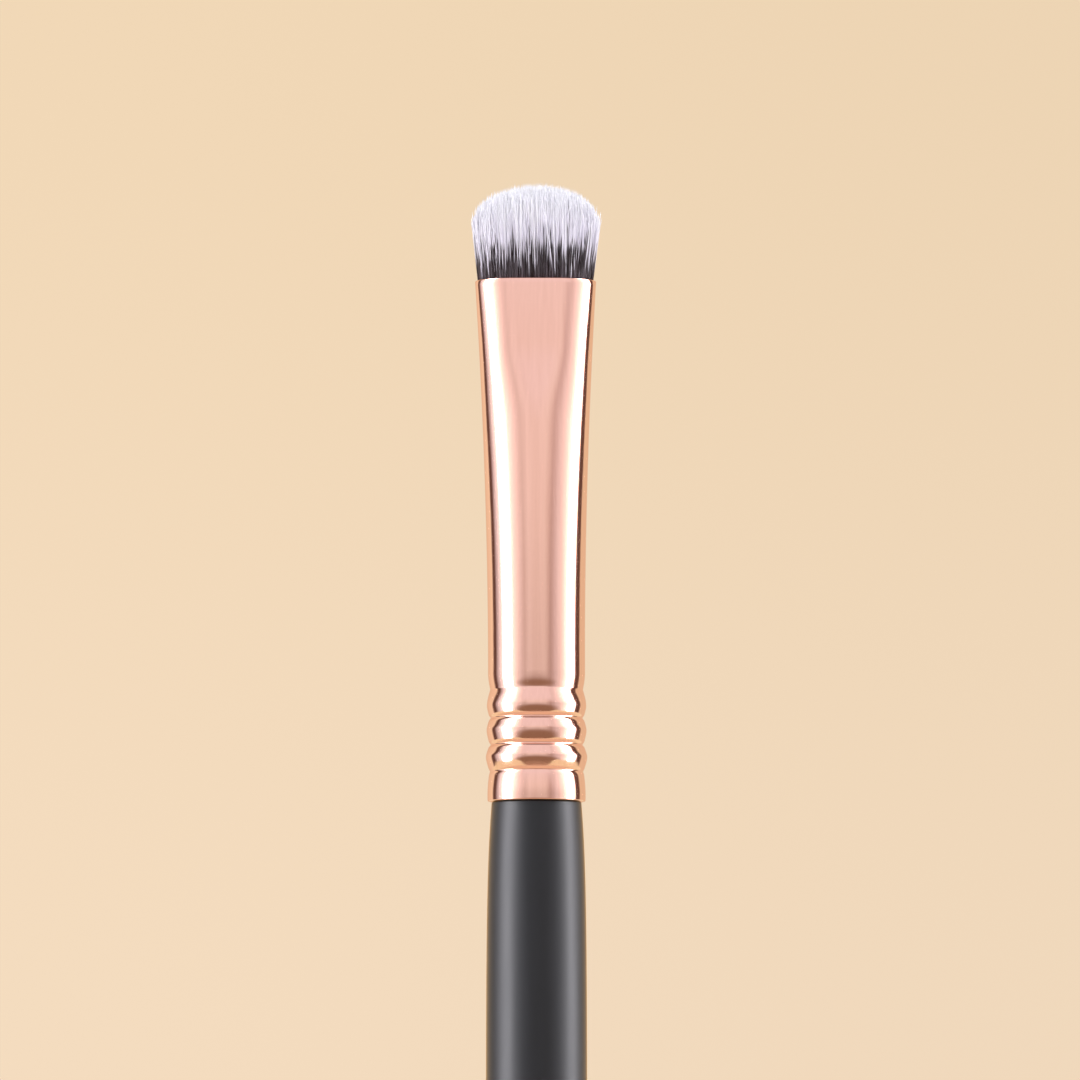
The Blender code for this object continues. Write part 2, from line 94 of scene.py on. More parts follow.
class Board:
    # a node tree that nodes are added to, by type
    def __init__(self, owner):
        owner.use_nodes = True
        self.tree = owner.node_tree
        self.tree.nodes.clear()

    # type, then settings (a ramp's stops are (place, colour) pairs), then socket values or wires
    def add(self, kind, settings=None, sockets=None, output=0):
        node = self.tree.nodes.new(kind)
        for key, value in (settings or {}).items():
            if key == "stops":
                self.setStops(node.color_ramp, value)
            else:
                setattr(node, key, value)
        for key, value in (sockets or {}).items():
            if isinstance(value, Wire):
                self.tree.links.new(value.socket, node.inputs[key])
            else:
                node.inputs[key].default_value = value
        return Wire(self, node.outputs[output]) if node.outputs else node

    def setStops(self, ramp, stops):
        while len(ramp.elements) > 1:
            ramp.elements.remove(ramp.elements[-1])
        for index, (place, colour) in enumerate(stops):
            stop = ramp.elements.new(place) if index else ramp.elements[0]
            stop.position = place
            stop.color = (*colour, 1.0)

    def mix(self, factor, first, second, blend="MIX"):
        settings = {"data_type": "RGBA", "blend_type": blend}
        return self.add("ShaderNodeMix", settings, {0: factor, 6: first, 7: second}, output=2)

    # smooth step from 0 at low to 1 at high
    def step(self, value, low, high, shape="SMOOTHSTEP"):
        sockets = {"Value": value, "From Min": low, "From Max": high}
        return self.add("ShaderNodeMapRange", {"interpolation_type": shape}, sockets)

    # a colour times a number
    def scaled(self, colour, factor):
        grey = self.add("ShaderNodeCombineColor", None, {0: factor, 1: factor, 2: factor})
        return self.mix(1.0, colour, grey, "MULTIPLY")

    # object coordinates, stretched by a scale along each axis
    def place(self, scale):
        here = self.add("ShaderNodeTexCoord", output=3)
        return self.add("ShaderNodeMapping", None, {"Vector": here, "Scale": scale})

    def noise(self, scale, detail):
        sockets = {"Vector": self.place(scale), "Scale": 1.0, "Detail": detail}
        return self.add("ShaderNodeTexNoise", None, sockets)

    def separate(self, vector):
        parts = self.add("ShaderNodeSeparateXYZ", None, {0: vector})
        return [Wire(self, socket) for socket in parts.socket.node.outputs]


def newMaterial(name):
    made = bpy.data.materials.new(name)
    return made, Board(made)


def closeMaterial(board, sockets):
    shader = board.add("ShaderNodeBsdfPrincipled", None, sockets)
    board.add("ShaderNodeOutputMaterial", None, {"Surface": shader})


def rgba(colour):
    return (*colour, 1.0)


# Finishes

noiseMiddle = 0.5  # the value that a noise swings about

ferruleFinish = {
    "copper": (0.97, 0.575, 0.465),
    "copperWorn": (0.85, 0.46, 0.36),
    "cloudWear": 0.2,  # how much of the worn tone the clouds and the streaks bring
    "streakWear": 0.6,
    "wearStart": 0.15,  # the sum of both at which it begins
    "roughness": 0.085,
    "streakRoughness": 0.05,
    "streakMiddle": 0.4,
    "cloudLift": 0.3,  # the clouds plus this scale the streaks' roughness
    "streakScale": (4200.0, 4200.0, 110.0),
    "streakDetail": 3.0,
    "streakHeight": 0.0018 * mm,
    "rippleScale": (4000.0, 4000.0, 1300.0),
    "rippleDetail": 2.0,
    "rippleHeight": 0.0026 * mm,
    "cloudScale": (330.0, 330.0, 130.0),
    "cloudDetail": 1.0,
    "cloudHeight": 0.006 * mm,
}


# polished plating: long fine streaks from the polishing wheel, a faint ripple and cloudy wear
def makeCopper():
    finish = ferruleFinish
    made, board = newMaterial("polishedCopperPlate")
    streaks = board.noise(finish["streakScale"], finish["streakDetail"])
    clouds = board.noise(finish["cloudScale"], finish["cloudDetail"])
    ripple = board.noise(finish["rippleScale"], finish["rippleDetail"])
    worn = clouds * finish["cloudWear"] + streaks * finish["streakWear"] - finish["wearStart"]
    colour = board.mix(worn, rgba(finish["copper"]), rgba(finish["copperWorn"]))
    brushed = finish["streakRoughness"] * (streaks - finish["streakMiddle"])
    roughness = finish["roughness"] + brushed * (clouds + finish["cloudLift"])
    height = ripple * finish["rippleHeight"] + streaks * finish["streakHeight"]
    height = height + clouds * finish["cloudHeight"]
    normal = board.add("ShaderNodeBump", None, {"Strength": 1.0, "Distance": 1.0, "Height": height})
    closeMaterial(board, {
        "Base Color": colour, "Metallic": 1.0, "Roughness": roughness, "Normal": normal,
    })
    return made


lacquerFinish = {
    "black": (0.0002, 0.0003, 0.0020),
    "dust": (0.0060, 0.0068, 0.0108),
    "dustShare": 0.5,  # of the grain's value
    "roughness": 0.45,
    "roughnessSpread": 0.12,
    "specular": 0.44,
    "sheen": 0.74,  # painted reflection: a warm-tinted sheen along both edges stands in for the warm backdrop reflected there
    "sheenRoughness": 0.27,
    # painted reflection: the sheen's warm tint is the backdrop's colour
    "backdropReflectionTint": (1.0, 0.55, 0.15),
    "grainScale": (1300.0, 1300.0, 90.0),
    "grainDetail": 4.0,
    "orangePeelScale": (1500.0, 1500.0, 900.0),
    "orangePeelDetail": 2.0,
    "orangePeelHeight": 0.0016 * mm,
}


# satin black lacquer: the turned wood's grain barely shows through as long soft changes of gloss, and a
# warm sheen along both edges is painted reflection of the backdrop
def makeLacquer():
    finish = lacquerFinish
    made, board = newMaterial("satinBlackLacquer")
    grain = board.noise(finish["grainScale"], finish["grainDetail"])
    peel = board.noise(finish["orangePeelScale"], finish["orangePeelDetail"])
    colour = board.mix(grain * finish["dustShare"], rgba(finish["black"]), rgba(finish["dust"]))
    roughness = finish["roughness"] + finish["roughnessSpread"] * (grain - noiseMiddle)
    normal = board.add("ShaderNodeBump", None, {
        "Strength": 1.0, "Distance": finish["orangePeelHeight"], "Height": peel + grain,
    })
    closeMaterial(board, {
        "Base Color": colour, "Roughness": roughness, "Normal": normal,
        "Specular IOR Level": finish["specular"], "Sheen Weight": finish["sheen"],
        "Sheen Roughness": finish["sheenRoughness"], "Sheen Tint": rgba(finish["backdropReflectionTint"]),
    })
    return made


filamentFinish = {
    "pale": (0.945, 0.945, 0.998),
    "paleWarm": (0.905, 0.895, 0.980),
    "paleShadedLow": (0.70, 0.665, 0.79),  # painted shade: the pale tone just above the dye line, darker to stand in for shade lower in the tuft
    "dark": (0.010, 0.003, 0.004),
    "darkGrey": (0.155, 0.130, 0.155),  # of the filaments that took least of the dye
    "dyeSoftness": 0.80 * mm,
    "paintedShadeReach": 3.4 * mm,  # how far above its dye line the painted shade still greys a filament
    "roughness": 0.42,
    "specular": 0.25,
}


# two-tone nylon: each filament is dark below its own dye line, as dark as its own stain makes it, and pale
# above that line, with painted shade that greys the pale part towards the dye line
def makeFilament():
    finish = filamentFinish
    made, board = newMaterial("twoToneFilament")
    dyeLine = board.add("ShaderNodeAttribute", {"attribute_name": "dyeLine"}, output=2)
    shade = board.add("ShaderNodeAttribute", {"attribute_name": "shade"}, output=2)
    stain = board.add("ShaderNodeAttribute", {"attribute_name": "stain"}, output=2)
    height = board.separate(board.add("ShaderNodeTexCoord", output=3))[2]
    softness = finish["dyeSoftness"]
    undyed = board.step(height - dyeLine, -softness / 2, softness / 2)
    pale = board.mix(shade, rgba(finish["paleWarm"]), rgba(finish["pale"]))
    # painted shade: the pale part greys from the dye line upwards and fades out at the reach above it,
    # standing in for shade lower in the tuft
    outsidePaintedShade = board.step(height - dyeLine, 0.0, finish["paintedShadeReach"], "LINEAR")
    pale = board.mix(outsidePaintedShade, rgba(finish["paleShadedLow"]), pale)
    dark = board.mix(stain, rgba(finish["dark"]), rgba(finish["darkGrey"]))
    closeMaterial(board, {
        "Base Color": board.mix(undyed, dark, pale), "Roughness": finish["roughness"],
        "Specular IOR Level": finish["specular"],
    })
    return made


hiddenFinishes = {
    "tenon_adhesive": {
        "colour": (0.80, 0.72, 0.52), "speck": (0.70, 0.60, 0.40), "roughness": 0.45, "scale": 900.0,
    },
    "root_epoxy": {
        "colour": (0.55, 0.34, 0.12), "speck": (0.40, 0.22, 0.07), "roughness": 0.22, "scale": 500.0,
    },
    "binding_thread": {
        "colour": (0.82, 0.80, 0.76), "speck": (0.62, 0.60, 0.56), "roughness": 0.80, "scale": 6000.0,
    },
}
hiddenCloud = {"detail": 3.0, "height": 0.01 * mm, "roughnessSpread": 0.1}


# what lies inside the ferrule: clouded glue, amber resin and spun thread
def dressHiddenNode(node, finish):
    made, board = newMaterial(node + "Finish")
    cloud = board.noise((finish["scale"],) * 3, hiddenCloud["detail"])
    normal = board.add("ShaderNodeBump", None, {"Distance": hiddenCloud["height"], "Height": cloud})
    closeMaterial(board, {
        "Base Color": board.mix(cloud, rgba(finish["colour"]), rgba(finish["speck"])),
        "Roughness": finish["roughness"] + hiddenCloud["roughnessSpread"] * (cloud - noiseMiddle),
        "Normal": normal,
    })
    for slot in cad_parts[node].material_slots:
        slot.material = made


# Meshes

# quads between neighbouring rings of a grid of points, counted ring by ring; each ring closes on
# itself, and the last ring meets the first where the rings close too
def ringQuads(rings, sides, closed=False):
    ring, side = np.meshgrid(np.arange(rings if closed else rings - 1), np.arange(sides), indexing="ij")
    above = (ring + 1) % rings
    beside = (side + 1) % sides
    corners = [ring * sides + side, ring * sides + beside, above * sides + beside, above * sides + side]
    return np.stack(corners, axis=-1).reshape(-1, 4)


# the matching corners on a map with the rings up its height and the sides across its width
def ringMap(rings, sides, closed=False):
    ring, side = np.meshgrid(np.arange(rings if closed else rings - 1), np.arange(sides), indexing="ij")
    corners = [(side, ring), (side + 1, ring), (side + 1, ring + 1), (side, ring + 1)]
    across = np.stack([corner[0] for corner in corners], axis=-1) / sides
    up = np.stack([corner[1] for corner in corners], axis=-1) / (rings if closed else rings - 1)
    return np.stack([across, up], axis=-1).reshape(-1, 4, 2)


# a piece from points, a list of face arrays (one for each number of corners) and their map places
def addPiece(name, points, faces, places, finish, replaced):
    mesh = bpy.data.meshes.new(name)
    corners = np.concatenate([group.ravel() for group in faces])
    sizes = np.concatenate([np.full(len(group), group.shape[1]) for group in faces])
    mesh.vertices.add(len(points))
    mesh.vertices.foreach_set("co", points.astype(np.float32).ravel())
    mesh.loops.add(len(corners))
    mesh.loops.foreach_set("vertex_index", corners.astype(np.int32))
    mesh.polygons.add(len(sizes))
    mesh.polygons.foreach_set("loop_start", (np.cumsum(sizes) - sizes).astype(np.int32))
    mesh.update(calc_edges=True)
    layer = mesh.uv_layers.new(name="OFBake")
    spots = np.concatenate([group.reshape(-1, 2) for group in places])
    layer.uv.foreach_set("vector", spots.astype(np.float32).ravel())
    mesh.validate()
    mesh.shade_smooth()
    mesh.materials.append(finish)
    piece = bpy.data.objects.new(name, mesh)
    bpy.context.collection.objects.link(piece)
    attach(piece, "root")
    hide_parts(replaced)
    return piece


# S-shaped step: three times the square of the share less twice its cube.
def easedStep(share):
    share = np.clip(share, 0.0, 1.0)
    return share * share * (3.0 - 2.0 * share)


# Ferrule

ferruleShape = {
    "length": mouth - ferruleFoot,
    "wall": 0.22 * mm,
    "skirtRadius": 3.39 * mm,
    "mouthHalfWidth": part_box("ferrule")[1].x + 0.05 * mm,  # still within the tuft's width
    "mouthHalfFlat": 1.20 * mm,
    "pressLength": 4.6 * mm,
    "pressRunout": 5.6 * mm,
    "plainLength": 0.77 * mm,  # of round tube over the shoulder
    "flarePower": 1.9,
    "sideLean": -0.07 * mm,  # of the mouth, which wasn't pressed quite straight
    "grooves": (2.10 * mm, 3.97 * mm, 5.84 * mm, 7.83 * mm),  # heights, between the band, beads and tube
    "grooveDips": (0.03 * mm, 0.075 * mm, 0.075 * mm, 0.04 * mm),  # how deep it is pressed in there
    "grooveWidths": (0.135 * mm, 0.135 * mm, 0.135 * mm, 0.40 * mm),  # fine lines, but broad at the tube
    "rollDepth": 0.105 * mm,  # of the grooves, below the tube's radius
    "bandCrest": 0.80,  # share of the end band, down from its groove
    "bandPower": 1.9,
    "bandProud": 0.035 * mm,
    "bandFall": 0.015 * mm,  # from its crest to the foot
    "beadProud": (0.149 * mm, 0.10 * mm, 0.08 * mm),  # from the lowest bead up
    "beadCrest": (0.46, 0.46, 0.57),  # shares of the bead, down from its upper groove
    "beadSoftness": 0.28,
    "shoulder": 1.12 * mm,
    "shoulderPower": 1.38,
    "lipRadius": 0.07 * mm,
    "sides": 240,
    "rollRings": 220,
    "flareRings": 90,
    "innerRings": 36,
    "lipRings": 5,
}


# Share of the way from a roll's crest to the groove above or below it.
def wayFromCrest(down, crest):
    return np.clip(np.where(down < crest, (crest - down) / crest, (down - crest) / (1.0 - crest)), 0.0, 1.0)


# Radius of the round tube. The end band falls from its crest with a power of the way, the beads are
# hyperbolas, the shoulder comes back to the skirt's radius with a power of the height, and a bell,
# exp(-(distance / width)^2), is pressed in at each groove.
def skirtRadius(height):
    shape = ferruleShape
    depth, grooves = shape["rollDepth"], np.array(shape["grooves"])
    down = 1.0 - height / grooves[0]
    way = wayFromCrest(down, shape["bandCrest"])
    fall = np.where(down < shape["bandCrest"], depth + shape["bandProud"], shape["bandFall"])
    band = depth + shape["bandProud"] - fall * way ** shape["bandPower"]
    bead = np.clip(np.searchsorted(grooves, height, side="right") - 1, 0, len(grooves) - 2)
    crest, proud = np.array(shape["beadCrest"])[bead], np.array(shape["beadProud"])[bead]
    soft = shape["beadSoftness"]
    way = wayFromCrest((grooves[bead + 1] - height) / (grooves[bead + 1] - grooves[bead]), crest)
    beads = (depth + proud) * (1.0 - (np.hypot(way, soft) - soft) / (math.hypot(1.0, soft) - soft))
    rise = np.clip((height - grooves[-1]) / shape["shoulder"], 0.0, 1.0)
    shoulder = depth * (1.0 - (1.0 - rise) ** shape["shoulderPower"])
    bulge = np.select([height < grooves[0], height < grooves[-1]], [band, beads], shoulder)
    pressed = np.exp(-(((height[:, None] - grooves) / shape["grooveWidths"]) ** 2)) @ shape["grooveDips"]
    return shape["skirtRadius"] - depth + bulge - pressed


# Height over the foot where the round tube begins to open.
def flareStart():
    shape = ferruleShape
    return shape["grooves"][-1] + shape["shoulder"] + shape["plainLength"]


# Half width, half depth and half flat at each height. The width opens with a power of the height,
# the flats of the pressed mouth fade in over the runout, and the depth keeps the tube's girth.
def ferruleSection(height):
    shape = ferruleShape
    radius = skirtRadius(np.minimum(height, flareStart()))
    flare = np.clip((height - flareStart()) / (shape["length"] - flareStart()), 0.0, 1.0)
    halfWidth = radius + (shape["mouthHalfWidth"] - shape["skirtRadius"]) * flare ** shape["flarePower"]
    panelFoot = shape["length"] - shape["pressLength"] - shape["pressRunout"]
    halfFlat = shape["mouthHalfFlat"] * easedStep((height - panelFoot) / shape["pressRunout"])
    girth = radius - 2.0 * halfFlat / math.pi
    halfDepth = np.sqrt(2.0 * girth ** 2 - (halfWidth - halfFlat) ** 2)
    return halfWidth, halfDepth, halfFlat


# How far the axis leans to the side, in step with the flare.
def sideLean(height):
    shape = ferruleShape
    return shape["sideLean"] * np.clip((height - flareStart()) / (shape["length"] - flareStart()), 0.0, 1.0)


# Rings of points: a half ellipse at each end of the flats, drawn in by an inset.
def sectionRings(height, inset, sides):
    halfWidth, halfDepth, halfFlat = [size[:, None] for size in ferruleSection(height)]
    turn = (np.arange(sides)[None, :] + 0.5) * math.tau / sides
    inset = np.asarray(inset).reshape(-1, 1)
    across = np.sign(np.cos(turn)) * halfFlat + (halfWidth - halfFlat - inset) * np.cos(turn)
    across = across + sideLean(height)[:, None]
    deep = (halfDepth - inset) * np.sin(turn)
    up = np.broadcast_to(height[:, None] + ferruleFoot, across.shape)
    return np.stack([across, deep, up], axis=-1)


# One closed skin: up the outside, over the lip as a half circle, down the bore and round the foot.
def makeFerrule():
    shape = ferruleShape
    lip = shape["lipRadius"]
    roll = np.linspace(lip, flareStart(), shape["rollRings"])
    flare = np.linspace(flareStart(), shape["length"] - lip, shape["flareRings"])[1:]
    turn = np.linspace(0.0, math.pi, shape["lipRings"] + 2)[1:-1]
    inner = np.linspace(shape["length"] - lip, lip, shape["innerRings"])
    lipInset = shape["wall"] / 2 * (1.0 - np.cos(turn))
    height = np.concatenate([
        roll, flare, shape["length"] - lip + lip * np.sin(turn), inner, lip - lip * np.sin(turn),
    ])
    inset = np.concatenate([
        np.zeros(len(roll) + len(flare)), lipInset, np.full(len(inner), shape["wall"]),
        lipInset[::-1],
    ])
    points = sectionRings(height, inset, shape["sides"])
    quads = ringQuads(len(height), shape["sides"], closed=True)
    places = ringMap(len(height), shape["sides"], closed=True)
    finish = makeCopper()
    addPiece("ferruleShell", points.reshape(-1, 3), [quads], [places], finish, "ferrule")


makeFerrule()
print("ferrule made")


# Handle

seatGap = 0.01 * mm  # between the ferrule and the handle's shoulder
handleShape = {
    "top": ferruleFoot - seatGap,
    "neckRadius": 3.12 * mm,
    "bellyRadius": 3.52 * mm,
    "swell": 4.5 * mm,
    "taperStart": 38.0 * mm,
    "tailRadius": 1.90 * mm,
    "tailRounding": 2.6 * mm,
    "shoulderRadius": 0.12 * mm,
    "tenonRadius": 2.50 * mm,
    "tenonChamfer": 0.4 * mm,
    "sides": 128,
    "rings": 150,
    "ringPower": 1.4,  # above 1, the rings crowd towards the shoulder
    "tailRings": 14,
    "rimRings": 5,
    "sharpAngle": 50.0,  # degrees
    "capShare": 0.02,  # of the map's height, for the triangles round each pole
}


# Radius at each depth below the shoulder: the neck swells to the belly as 1 - exp(-depth / swell),
# an S-shaped step tapers the belly to the tail, and the last stretch is a quarter ellipse.
def handleRadius(depth):
    shape = handleShape
    length = shape["top"] - tailEnd
    radius = shape["bellyRadius"]
    radius = radius - (radius - shape["neckRadius"]) * np.exp(-depth / shape["swell"])
    taper = easedStep((depth - shape["taperStart"]) / (length - shape["taperStart"]))
    radius = radius - (shape["bellyRadius"] - shape["tailRadius"]) * taper
    rounding = np.clip((depth - length + shape["tailRounding"]) / shape["tailRounding"], 0.0, 1.0)
    return radius * np.sqrt(1.0 - rounding ** 2)


# A profile of radius and height turned about the brush's axis, closed at both poles, whose
# triangles take a share of the map's height each.
def turned(radius, height, sides, cap):
    turn = np.arange(sides) * math.tau / sides
    body = np.stack([
        radius[1:-1, None] * np.cos(turn), radius[1:-1, None] * np.sin(turn),
        np.repeat(height[1:-1, None], sides, axis=1),
    ], axis=-1).reshape(-1, 3)
    points = np.concatenate([body, [(0.0, 0.0, height[0]), (0.0, 0.0, height[-1])]])
    rings = len(radius) - 2
    side = np.arange(sides)
    beside = (side + 1) % sides
    low = np.stack([np.full(sides, rings * sides), beside, side], axis=-1)
    last = (rings - 1) * sides
    high = np.stack([np.full(sides, rings * sides + 1), last + side, last + beside], axis=-1)
    spread = ringMap(rings, sides)
    spread[..., 1] = cap + (1.0 - 2.0 * cap) * spread[..., 1]
    middle = (side + 0.5) / sides
    lowMap = np.stack([middle, middle * 0.0, (side + 1) / sides, middle * 0.0 + cap,
                       side / sides, middle * 0.0 + cap], axis=-1).reshape(-1, 3, 2)
    highMap = np.stack([middle, middle * 0.0 + 1.0, side / sides, middle * 0.0 + 1.0 - cap,
                        (side + 1) / sides, middle * 0.0 + 1.0 - cap], axis=-1).reshape(-1, 3, 2)
    return points, [ringQuads(rings, sides), low, high], [spread, lowMap, highMap]


# One profile from the tail up: rounded tail, belly, neck, rounded shoulder and chamfered tenon.
def makeHandle():
    shape = handleShape
    length = shape["top"] - tailEnd
    ease = np.linspace(math.pi / 2, 0.0, shape["tailRings"])
    tail = length - shape["tailRounding"] * (1.0 - np.sin(ease))
    even = np.linspace(1.0, 0.0, shape["rings"])[1:]
    rim = shape["shoulderRadius"]
    body = rim + (length - shape["tailRounding"] - rim) * even ** shape["ringPower"]
    depth = np.concatenate([tail, body])
    turn = np.linspace(0.0, math.pi / 2, shape["rimRings"] + 1)[1:]
    edge = handleRadius(np.array([rim]))[0]
    radius = np.concatenate([
        handleRadius(depth), edge - rim * (1.0 - np.cos(turn)),
        [shape["tenonRadius"], shape["tenonRadius"], shape["tenonRadius"] - shape["tenonChamfer"], 0.0],
    ])
    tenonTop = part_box("handle")[1].z
    height = np.concatenate([
        shape["top"] - depth, shape["top"] - rim * (1.0 - np.sin(turn)),
        [shape["top"], tenonTop - shape["tenonChamfer"], tenonTop, tenonTop],
    ])
    points, faces, places = turned(radius, height, shape["sides"], shape["capShare"])
    finish = makeLacquer()
    piece = addPiece("lacqueredHandle", points, faces, places, finish, "handle")
    piece.data.set_sharp_from_angle(angle=math.radians(shape["sharpAngle"]))


makeHandle()
print("handle made")


# Tuft

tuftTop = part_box("core_bristles")[1].z - mouth
tuftShape = {
    "seed": 11,
    "pitch": 0.039 * mm,  # of the filaments' feet in the mouth
    "radius": 0.0245 * mm,
    "swelling": 0.25,  # share by which a filament is thicker above
    "tipShare": 0.25,  # of the radius, at the last ring
    "taperPower": 8.0,
    "jitterShare": 0.38,  # of the pitch
    "edgeMargin": 0.04 * mm,
    "footLimit": 0.995,  # share of the half depth that the feet fill
    "footDepth": 0.62 * mm,
    "rimSpill": 0.16 * mm,  # how far the filaments swell out just over the lip
    "spillRise": 0.22 * mm,
    "halfWidth": 4.40 * mm,
    "halfDepth": 2.30 * mm,
    "bellyFoot": 0.6 * mm,
    "bellyTop": 4.0 * mm,
    "height": tuftTop - 0.23 * mm,
    "domeRise": 2.80 * mm,
    "domePower": 2.45,
    "domeDepthShare": 0.75,
    "domeShift": 0.03,  # share of the half width that its top stands to the right
    "domeSink": 0.33 * mm,  # depth under the dome where the lowest tips end
    "domeScatter": 0.12 * mm,  # mean height of the tips over that line
    "tallest": 0.48 * mm,  # over the same line
    "clumpPitch": 0.24 * mm,
    "clumpJitterShare": 0.45,  # of the clumps' pitch
    "clumpPull": 0.06,
    "clumpPullSpread": (0.4, 1.6),  # least and most, as shares of that pull
    "pullPower": 1.5,
    "leanPower": 1.3,
    "clumpLean": 0.05 * mm,
    "ownLean": 0.10 * mm,
    "bow": 0.035 * mm,
    "flyawayShare": 0.07,
    "flyawayLean": 0.26 * mm,
    "dyeHeight": 2.37 * mm,
    "dyeArch": 0.08 * mm,  # how much lower the dye ends at both sides
    "dyeTilt": 0.09 * mm,  # how much higher it ends on the right
    "dyeTail": 0.34 * mm,  # mean depth by which it ends lower, far more in a few
    "dyeClumpSpread": 0.19 * mm,
    "dyeOwnSpread": 0.64 * mm,
    "dyeLimits": (0.30 * mm, 3.6 * mm),
    "undyedShare": 0.004,
    "stainPower": 2.5,  # the higher, the fewer filaments are dyed a paler grey
    "shadeMiddle": 0.6,  # of the pale parts, from warm at 0 to cool at 1
    "shadeSpread": 0.22,
    "ringShares": (0.0, 0.20, 0.45, 0.75, 0.95),
    "highest": tuftTop - 0.01 * mm,
    "reach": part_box("core_bristles")[1].x - 0.03 * mm,  # widest that a stray may lean
    "sides": 4,
}
# shares of the half depth between which each layer lies, from front to back
layerLimits = {"front_bristles": (-1.0, -0.4), "core_bristles": (-0.4, 0.4), "back_bristles": (0.4, 1.0)}
coreRings = (0, 3, 4)  # of the ring shares: the core is the largest layer and the least seen
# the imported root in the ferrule, below the mouth: depths and how far it stands off the outer face,
# further in where the thread ties it
rootShape = {
    "depths": (9.8 * mm, 9.2 * mm, 9.2 * mm, 6.2 * mm, 6.2 * mm, 3.0 * mm, 0.5 * mm),
    "insets": (0.37 * mm, 0.37 * mm, 0.80 * mm, 0.80 * mm, 0.37 * mm, 0.37 * mm, 0.37 * mm),
    "layerGap": 0.10 * mm,
    "dyeLine": mouth,  # dark all the way, as its filaments are there
    "shade": 0.3,
    "stain": 0.1,
    "sidePoints": 14,  # on each rounded side
}


# Half sizes of the tuft's section at each height: they spill out over the lip as
# 1 - exp(-height / rise) and swell to the belly as an S-shaped step.
def tuftSection(height):
    shape = tuftShape
    rim = ferruleSection(np.array([ferruleShape["length"]]))
    halfWidth, halfDepth, halfFlat = [size[0] for size in rim]
    inset = ferruleShape["wall"] + shape["edgeMargin"]
    spill = shape["rimSpill"] * (1.0 - np.exp(-np.maximum(height, 0.0) / shape["spillRise"])) - inset
    swell = easedStep((height - shape["bellyFoot"]) / (shape["bellyTop"] - shape["bellyFoot"]))
    wide = halfWidth + spill + (shape["halfWidth"] - halfWidth - spill) * swell
    deep = halfDepth + spill + (shape["halfDepth"] - halfDepth - spill) * swell
    return wide, deep, halfFlat


# The point at two shares of that section, -1 to 1 each way, at a height over the mouth.
def tuftPlace(across, deep, height):
    wide, thick, flat = tuftSection(height)
    reach = flat + (wide - flat) * np.sqrt(np.clip(1.0 - deep ** 2, 0.0, 1.0))
    return np.stack([across * reach, deep * thick, height + 0.0 * across], axis=-1)


# Feet on a staggered grid, each moved a little, as shares of the mouth's section.
def footShares(pitch, jitter, chance):
    wide, thick, flat = tuftSection(0.0)
    columns = np.arange(-math.ceil(wide / pitch), math.ceil(wide / pitch) + 1)
    rowPitch = pitch * math.sqrt(3.0) / 2
    rows = np.arange(-math.ceil(thick / rowPitch), math.ceil(thick / rowPitch) + 1)
    column, row = [part.ravel() for part in np.meshgrid(columns, rows)]
    x = (column + 0.5 * (row % 2)) * pitch + chance.uniform(-jitter, jitter, column.shape)
    y = row * rowPitch + chance.uniform(-jitter, jitter, column.shape)
    deep = y / thick
    reach = flat + (wide - flat) * np.sqrt(np.clip(1.0 - deep ** 2, 0.0, 1.0))
    across = x / reach
    inside = (np.abs(deep) < tuftShape["footLimit"]) & (np.abs(across) < 1.0)
    return across[inside], deep[inside]


# Height of the rounded top: the dome falls as a slightly square ellipse towards the tuft's sides, and
# later and less towards its front and back.
def domeHeight(across, deep):
    shape = tuftShape
    across = np.clip(across - shape["domeShift"] * (1.0 - across ** 2), -1.0, 1.0)
    edge = across ** 2 + shape["domeDepthShare"] * deep ** 4 * (1.0 - across ** 2)
    return shape["height"] - shape["domeRise"] * (1.0 - (1.0 - edge) ** (1.0 / shape["domePower"]))


